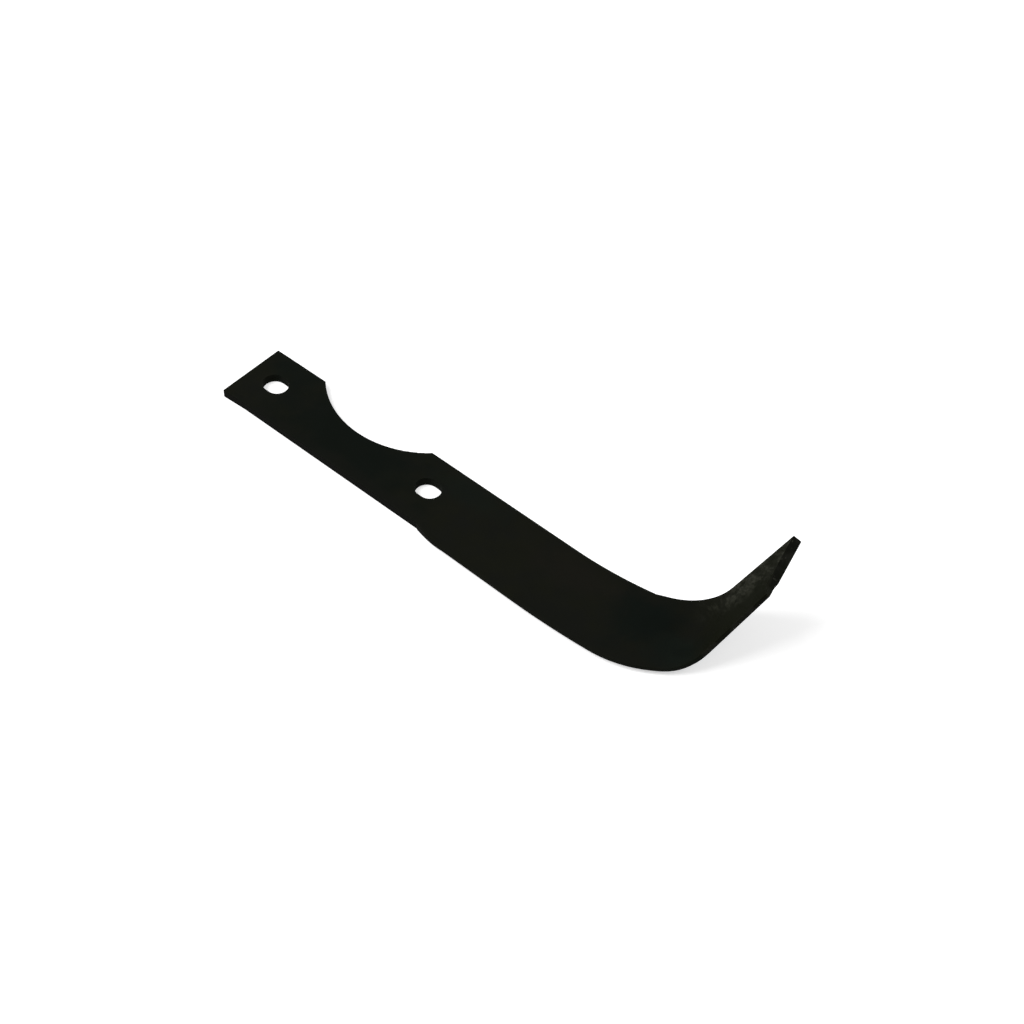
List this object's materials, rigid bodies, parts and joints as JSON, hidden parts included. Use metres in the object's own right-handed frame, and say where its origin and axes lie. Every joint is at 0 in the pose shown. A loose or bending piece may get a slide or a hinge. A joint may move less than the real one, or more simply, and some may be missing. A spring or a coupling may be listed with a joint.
{
  "type": "rotary tiller blade",
  "caption": "Rotary tiller blade of flat steel bar: a notched, slotted shank and an obliquely bent wing, with a forged, bevelled cutting edge along one side.",
  "frame": {"origin": "midway between the two bolt slots, on the mounting face, which is the shank's underside", "axes": "+X along the shank from the mounting end to the wing, +Y towards the notched back edge, +Z out of the mounting face into the steel, the way the wing is bent up"},
  "size_m": [0.3174, 0.0897, 0.0513],
  "materials": {
    "paint": "satin black paint with a slight olive tint, thin and worn on the wing"
  },
  "bodies": {
    "root": {"tiller_blade": "paint"}
  },
  "joints": []
}
